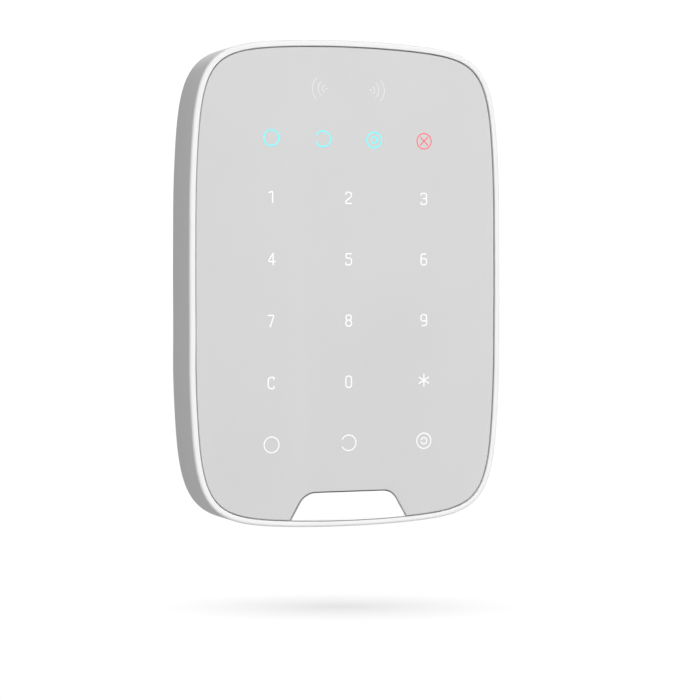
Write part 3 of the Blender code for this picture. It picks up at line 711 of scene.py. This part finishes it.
def glyph_paths(glyph):
    """A figure's strokes about its centre, as (path, closed)."""
    if glyph == "star":
        return [(bar(0.0, STAR_RISE, STAR_REACH, turn), False) for turn in STAR_ARMS]
    return [(rounded(points, radius, closed), closed) for points, radius, closed in GLYPHS[glyph]]


def bar(x, z, reach, turn):
    """A straight stroke through a point, turned from the level by turn degrees."""
    a = math.radians(turn)
    step = np.array((math.cos(a), math.sin(a))) * reach
    middle = np.array((x, z))
    return np.array([middle - step, middle, middle + step])


def ring_paths(kind):
    """The armed, disarmed, part-armed and fault symbols."""
    if kind == "open":
        paths = [(arc(0.0, 0.0, RING_RADIUS, 180 + RING_GAP, 540 - RING_GAP, 60), False)]
    else:
        paths = [(ring(0.0, 0.0, RING_RADIUS), True)]
    if kind == "double":
        inner = arc(0.0, 0.0, INNER_RING_RADIUS, 180 + INNER_GAP, 540 - INNER_GAP, 36)
        paths.append((inner, False))
    if kind == "crossed":
        paths += [(bar(0.0, 0.0, CROSS_REACH * math.sqrt(2), turn), False) for turn in (45, -45)]
    return paths


def reader_paths(side):
    """Three waves spreading outwards from a dot."""
    middle = 0.0 if side > 0 else 180.0
    paths = [(arc(0.0, 0.0, radius, middle - half, middle + half, 24), False)
             for radius, half in READER_WAVES]
    return paths + [(ring(0.0, 0.0, READER_DOT_RADIUS, 20), True)]


def symbol(name, paths, x, z, width, material):
    """Strokes joined into one printed symbol; each stands a little higher than the last."""
    shift = np.array((x, z))
    parts = []
    for i, (path, closed) in enumerate(paths):
        mesh = ribbon(path + shift, width, PRINT_RISE + i * PRINT_STEP, closed)
        parts.append(bpy.data.objects.new(f"{name}_stroke_{i}", mesh))
        bpy.context.scene.collection.objects.link(parts[-1])
    first = parts[0]
    for other in parts[1:]:
        combine(first, other, "UNION")
    apply_modifiers(first)
    mesh = first.data
    for part in parts:
        bpy.data.objects.remove(part, do_unlink=True)
    mesh.name = name
    piece(name, mesh, material)


def symbols():
    """Twelve figures, three mode rings below them, four indicators and two reader marks."""
    columns = (-KEY_PITCH_X, 0.0, KEY_PITCH_X)
    rows = (("1", "2", "3"), ("4", "5", "6"), ("7", "8", "9"), ("C", "0", "star"))
    for r, row in enumerate(rows):
        for x, glyph in zip(columns, row):
            symbol(f"symbol_{glyph}", glyph_paths(glyph), x + GLYPH_SHIFTS.get(glyph, 0.0),
                   FIRST_ROW_Z - r * KEY_PITCH_Z, DIGIT_STROKE, LEGEND)
    z = FIRST_ROW_Z - len(rows) * KEY_PITCH_Z
    for x, kind in zip(columns, ("ring", "open", "double")):
        symbol(f"symbol_{kind}", ring_paths(kind), x, z, RING_STROKE, LEGEND)
    for i, kind in enumerate(("ring", "open", "double", "crossed")):
        x = (i - 1.5) * KEY_PITCH_X * 2 / 3
        red = kind == "crossed"
        symbol(f"indicator_{kind}", ring_paths(kind), x, INDICATOR_Z,
               RED_STROKE if red else CYAN_STROKE, RED if red else CYAN)
    for side, name in ((-1, "left"), (1, "right")):
        symbol(f"reader_mark_{name}", reader_paths(side), side * READER_DOT_X, READER_Z,
               READER_STROKE, FAINT)


# ---------------------------------------------------------------- materials in use

def panel_material():
    """The touch panel: satin, faintly mottled, very finely grained."""
    m = Nodes("panel_grey")
    mottle = m.noise(35.0, 3.0)
    fine = m.noise(5200.0, 2.0, 0.6)
    color = m.tint(mottle, (0.634, 0.634, 0.636), (0.646, 0.646, 0.647))
    rough = m.spread(fine, 0.56, 0.64)
    m.set("Specular IOR Level", 0.1)
    return m.finish(color, rough, m.bump(fine, 0.15, 0.00002))


def ink(name, value, roughness=0.5):
    """Printed ink, finely speckled."""
    m = Nodes(name)
    fine = m.noise(4200.0, 2.0)
    color = m.tint(fine, [v * 0.985 for v in value], value)
    m.set("Specular IOR Level", 0.25)
    return m.finish(color, m.spread(fine, roughness - 0.05, roughness + 0.05),
                    m.bump(fine, 0.1, 0.00001))


def painted_glow_ink(name, value, glow, strength):
    """A symbol's ink with a painted glow, standing in for the light of the LEDs behind it; a
    little uneven.
    """
    material = ink(name, value)
    shader = material.node_tree.nodes["Principled BSDF"]
    shader.inputs["Emission Color"].default_value = (*glow, 1.0)
    shader.inputs["Emission Strength"].default_value = strength
    return material


def metal(name, value, roughness, lines, stretch):
    """Drawn or plated metal: fine lines along the draw and a few duller patches."""
    m = Nodes(name)
    drawn = m.noise(lines, 3.0, 0.6, stretch)
    patches = m.noise(220.0, 3.0)
    color = m.tint(patches, [v * 0.9 for v in value], value)
    m.set("Metallic", 1.0)
    rough = m.spread(drawn, roughness - 0.08, roughness + 0.12)
    return m.finish(color, rough, m.bump(drawn, 0.3, 0.00001))


def board_material():
    """Solder resist over tracks: pale lines where copper lies below, and tinned vias."""
    m = Nodes("board_green")
    tracks = m.add("ShaderNodeTexBrick", offset=0.37, squash=1.6)
    tracks.inputs["Scale"].default_value = 180.0
    tracks.inputs["Mortar Size"].default_value = 0.035
    tracks.inputs["Mortar Smooth"].default_value = 0.4
    upright = m.add("ShaderNodeMapping")
    upright.inputs["Rotation"].default_value = (math.pi / 2, 0.0, 0.0)
    m.link(m.place, upright.inputs["Vector"])
    m.link(upright.outputs["Vector"], tracks.inputs["Vector"])
    vias = m.add("ShaderNodeTexVoronoi", feature="F1")
    vias.inputs["Scale"].default_value = 210.0
    m.link(m.place, vias.inputs["Vector"])
    dots = m.spread(vias.outputs["Distance"], 1.0, 0.0, 0.12, 0.16)
    green = m.tint(tracks.outputs["Fac"], (0.008, 0.075, 0.035), (0.03, 0.19, 0.085), 0.0, 1.0)
    mix = m.add("ShaderNodeMix", data_type="RGBA")
    mix.inputs["B"].default_value = (0.62, 0.6, 0.55, 1.0)
    m.link(dots, mix.inputs["Factor"])
    m.link(green, mix.inputs["A"])
    rough = m.spread(m.noise(900.0), 0.32, 0.42)
    return m.finish(mix.outputs["Result"], rough, m.bump(tracks.outputs["Fac"], 0.3, 0.00003))


def sleeve_material(name, top_up):
    """A cell's film sleeve: dark, with a copper-coloured band at its raised end."""
    m = Nodes(name)
    split = m.add("ShaderNodeSeparateXYZ")
    m.link(m.place, split.inputs["Vector"])
    height = split.outputs["Z"]
    edges = (CELL_BAND_FOOT, CELL_BAND_FOOT + 0.0002)
    if top_up:
        band = m.spread(height, 0.0, 1.0, CELL_CENTRE_Z + edges[0], CELL_CENTRE_Z + edges[1])
    else:
        band = m.spread(height, 1.0, 0.0, CELL_CENTRE_Z - edges[1], CELL_CENTRE_Z - edges[0])
    film = m.noise(400.0, 2.0)
    color = m.tint(band, (0.03, 0.035, 0.045), (0.55, 0.27, 0.12), 0.0, 1.0)
    m.set("Metallic", 0.35)
    m.set("Coat Weight", 0.3)
    m.set("Coat Roughness", 0.15)
    return m.finish(color, m.spread(film, 0.28, 0.36), m.bump(film, 0.15, 0.00002))


def diffuser_material():
    """Milky acrylic that spreads the LEDs' light."""
    m = Nodes("diffuser")
    cloud = m.noise(160.0, 3.0)
    m.set("Transmission Weight", 0.35)
    m.set("IOR", 1.49)
    return m.finish(m.tint(cloud, (0.86, 0.86, 0.84), (0.93, 0.93, 0.91)),
                    m.spread(m.noise(1800.0), 0.3, 0.4), m.bump(cloud, 0.1, 0.00003))


def lamp_material(name, value):
    """A small LED: a clouded lens over its phosphor or chip."""
    m = Nodes(name)
    lens = m.noise(1500.0, 2.0)
    m.set("Coat Weight", 0.5)
    m.set("Coat Roughness", 0.1)
    return m.finish(m.tint(lens, [v * 0.9 for v in value], value), m.spread(lens, 0.18, 0.28),
                    m.bump(lens, 0.1, 0.00001))


HOUSING = moulded("housing_white", 0.83, 0.4, 2600.0, 0.00002)
PANEL = panel_material()
BADGE = moulded("badge_white", 0.95, 0.3, 2600.0, 0.00001)
BRACKET = moulded("bracket_white", 0.82, 0.55, 1500.0, 0.00006)
COVER = moulded("cover_white", 0.82, 0.55, 1500.0, 0.00006)
# The symbols' glow is painted into their ink; the LEDs below give off no light
LEGEND = painted_glow_ink("legend_white", (0.9, 0.9, 0.9), (1.0, 1.0, 1.0), 0.08)
CYAN = painted_glow_ink("indicator_cyan", (0.15, 0.8, 0.85), (0.1, 0.95, 1.0), 0.2)
RED = painted_glow_ink("indicator_red", (0.85, 0.07, 0.09), (1.0, 0.25, 0.3), 0.2)
FAINT = ink("reader_mark", (0.785, 0.785, 0.785))
BOARD = board_material()
COPPER = metal("copper", (0.78, 0.42, 0.24), 0.32, 900.0, (1, 1, 1))
STEEL = metal("steel", (0.66, 0.66, 0.67), 0.3, 1400.0, (1, 1, 0.1))
SPRING = metal("spring_steel", (0.5, 0.5, 0.51), 0.28, 2400.0, (0.2, 1, 1))
BLACK = moulded("black_plastic", 0.035, 0.45, 1800.0, 0.00004)
DIFFUSER = diffuser_material()
WHITE_LED = lamp_material("white_led", (0.95, 0.86, 0.45))
CYAN_LED = lamp_material("cyan_led", (0.75, 0.95, 0.96))
RED_LED = lamp_material("red_led", (0.96, 0.62, 0.6))
SLEEVES = (sleeve_material("cell_sleeve_up", True), sleeve_material("cell_sleeve_down", False))


def dress():
    """Gives every CAD node that stays its material."""
    looks = {"wall_bracket": BRACKET, "rear_cover": COVER, "lock_screw": STEEL,
             "touch_board": BOARD, "light_guide": DIFFUSER, "reader_antenna": COPPER,
             "radio_antenna_left": COPPER, "radio_antenna_right": COPPER,
             "radio_module": STEEL, "indicator_led_4": RED_LED}
    families = (("cover_screw", STEEL), ("cell_contact", STEEL), ("cell_spring", SPRING),
                ("key_led", WHITE_LED), ("indicator_led", CYAN_LED))
    for name, node in NODES.items():
        if name in REPLACED:
            continue
        look = looks.get(name)
        for family, material in families:
            if look is None and name.startswith(family):
                look = material
        if name.startswith("battery_cell"):
            look = SLEEVES[(int(name[-1]) - 1) % 2]
        for slot in node.material_slots:
            slot.material = look or BLACK


# ---------------------------------------------------------------- stage

def stage():
    """Floor, surroundings and back light."""
    floor()
    sky()
    back_light()
    bpy.context.scene.view_settings.view_transform = "Standard"


def floor():
    """A white floor that glows evenly, apart from a painted soft shadow right below the object,
    which the object doesn't cast.
    """
    mesh = bpy.data.meshes.new("floor")
    shape = bmesh.new()
    bmesh.ops.create_grid(shape, x_segments=1, y_segments=1, size=FLOOR_HALF)
    shape.to_mesh(mesh)
    shape.free()
    plane = bpy.data.objects.new("floor", mesh)
    plane.location = (*SHADE_CENTRE, FLOOR_Z)
    plane.rotation_euler.z = -CAMERA_TURN
    plane.visible_diffuse = False
    plane.visible_glossy = False
    bpy.context.scene.collection.objects.link(plane)

    m = Nodes("floor_white")
    # The painted shadow: the glow falls from FLOOR_GLOW to SHADE_GLOW towards the oval's middle
    oval = m.add("ShaderNodeMapping")
    oval.inputs["Scale"].default_value = [1.0 / half for half in SHADE_HALF] + [1.0]
    m.link(m.place, oval.inputs["Vector"])
    reach = m.add("ShaderNodeTexGradient", gradient_type="SPHERICAL")
    m.link(oval.outputs["Vector"], reach.inputs["Vector"])
    eased = m.add("ShaderNodeMath", operation="POWER")
    eased.inputs[1].default_value = SHADE_POWER
    m.link(reach.outputs["Fac"], eased.inputs[0])
    fall = m.add("ShaderNodeMapRange")
    fall.inputs["To Min"].default_value = FLOOR_GLOW
    fall.inputs["To Max"].default_value = SHADE_GLOW
    m.link(eased.outputs["Value"], fall.inputs["Value"])
    m.set("Base Color", (0.0, 0.0, 0.0, 1.0))
    m.set("Specular IOR Level", 0.0)
    m.set("Emission Color", (1.0, 1.0, 1.0, 1.0))
    m.link(fall.outputs["Result"], m.shader.inputs["Emission Strength"])
    clear = m.add("ShaderNodeBsdfTransparent")
    side = m.add("ShaderNodeNewGeometry")
    mix = m.add("ShaderNodeMixShader")
    m.link(side.outputs["Backfacing"], mix.inputs["Fac"])
    m.link(m.shader.outputs["BSDF"], mix.inputs[1])
    m.link(clear.outputs["BSDF"], mix.inputs[2])
    m.link(mix.outputs["Shader"], m.tree.nodes["Material Output"].inputs["Surface"])
    mesh.materials.append(m.finish())


def sky():
    """Soft light from all round; past the object the camera sees plain white."""
    world = bpy.data.worlds.new("studio")
    world.use_nodes = True
    tree = world.node_tree
    soft = tree.nodes["Background"]
    backdrop = tree.nodes.new("ShaderNodeBackground")
    for background in (soft, backdrop):
        background.inputs["Color"].default_value = (1.0, 1.0, 1.0, 1.0)
    tree.links.new(brightness(tree), soft.inputs["Strength"])
    backdrop.inputs["Strength"].default_value = BACKDROP_STRENGTH
    path = tree.nodes.new("ShaderNodeLightPath")
    mix = tree.nodes.new("ShaderNodeMixShader")
    tree.links.new(path.outputs["Is Camera Ray"], mix.inputs["Fac"])
    tree.links.new(soft.outputs["Background"], mix.inputs[1])
    tree.links.new(backdrop.outputs["Background"], mix.inputs[2])
    tree.links.new(mix.outputs["Shader"], tree.nodes["World Output"].inputs["Surface"])
    bpy.context.scene.world = world


def brightness(tree):
    """The surroundings' brightness by direction, as a node output.

    A wide soft lamp stands at the front, a little right and above. It is a little brighter
    straight above and, as over a white floor, straight below.
    """
    direction = tree.nodes.new("ShaderNodeTexCoord").outputs["Generated"]
    towards = tree.nodes.new("ShaderNodeVectorMath")
    towards.operation = "DOT_PRODUCT"
    towards.inputs[1].default_value = Vector(KEY_LIGHT).normalized()
    tree.links.new(direction, towards.inputs[0])
    level = tree.nodes.new("ShaderNodeMapRange")
    level.interpolation_type = "SMOOTHSTEP"
    level.inputs["From Min"].default_value = math.cos(KEY_EDGE)
    level.inputs["From Max"].default_value = math.cos(KEY_CORE)
    level.inputs["To Min"].default_value = AMBIENT
    level.inputs["To Max"].default_value = AMBIENT + KEY_GLOW
    tree.links.new(towards.outputs["Value"], level.inputs["Value"])
    split = tree.nodes.new("ShaderNodeSeparateXYZ")
    tree.links.new(direction, split.inputs["Vector"])
    total = level.outputs["Result"]
    for end, extra in ((1.0, FROM_ABOVE), (-1.0, FROM_BELOW)):
        lift = tree.nodes.new("ShaderNodeMapRange")
        lift.inputs["From Max"].default_value = end
        lift.inputs["To Max"].default_value = extra
        tree.links.new(split.outputs["Z"], lift.inputs["Value"])
        both = tree.nodes.new("ShaderNodeMath")
        tree.links.new(total, both.inputs[0])
        tree.links.new(lift.outputs["Result"], both.inputs[1])
        total = both.outputs["Value"]
    return total


def back_light():
    """A distant light from behind, which the faces seen from the front don't catch."""
    light = bpy.data.lights.new("back", "SUN")
    light.energy = BACK_STRENGTH
    light.angle = BACK_SPREAD
    obj = bpy.data.objects.new("back", light)
    obj.rotation_mode = "QUATERNION"
    obj.rotation_quaternion = Vector(BACK_LIGHT).to_track_quat("Z", "Y")
    obj.visible_glossy = False
    bpy.context.scene.collection.objects.link(obj)


def camera():
    """Looks at the front from CAMERA_TURN to its left and CAMERA_TILT above."""
    data = bpy.data.cameras.new("camera")
    data.lens = CAMERA_LENS
    data.sensor_width = CAMERA_SENSOR
    data.clip_start = 0.01
    data.clip_end = 50.0
    obj = bpy.data.objects.new("camera", data)
    turn, tilt = CAMERA_TURN, CAMERA_TILT
    back = Vector((-math.sin(turn) * math.cos(tilt), -math.cos(turn) * math.cos(tilt),
                   math.sin(tilt)))
    right = Vector((math.cos(turn), -math.sin(turn), 0.0))
    up = back.cross(right)
    obj.matrix_world = (Matrix.Translation(CAMERA_PLACE)
                        @ Matrix((right, up, back)).transposed().to_4x4())
    bpy.context.scene.collection.objects.link(obj)
    bpy.context.scene.camera = obj


camera()
stage()
housing()
front()
tamper_spring()
symbols()
dress()
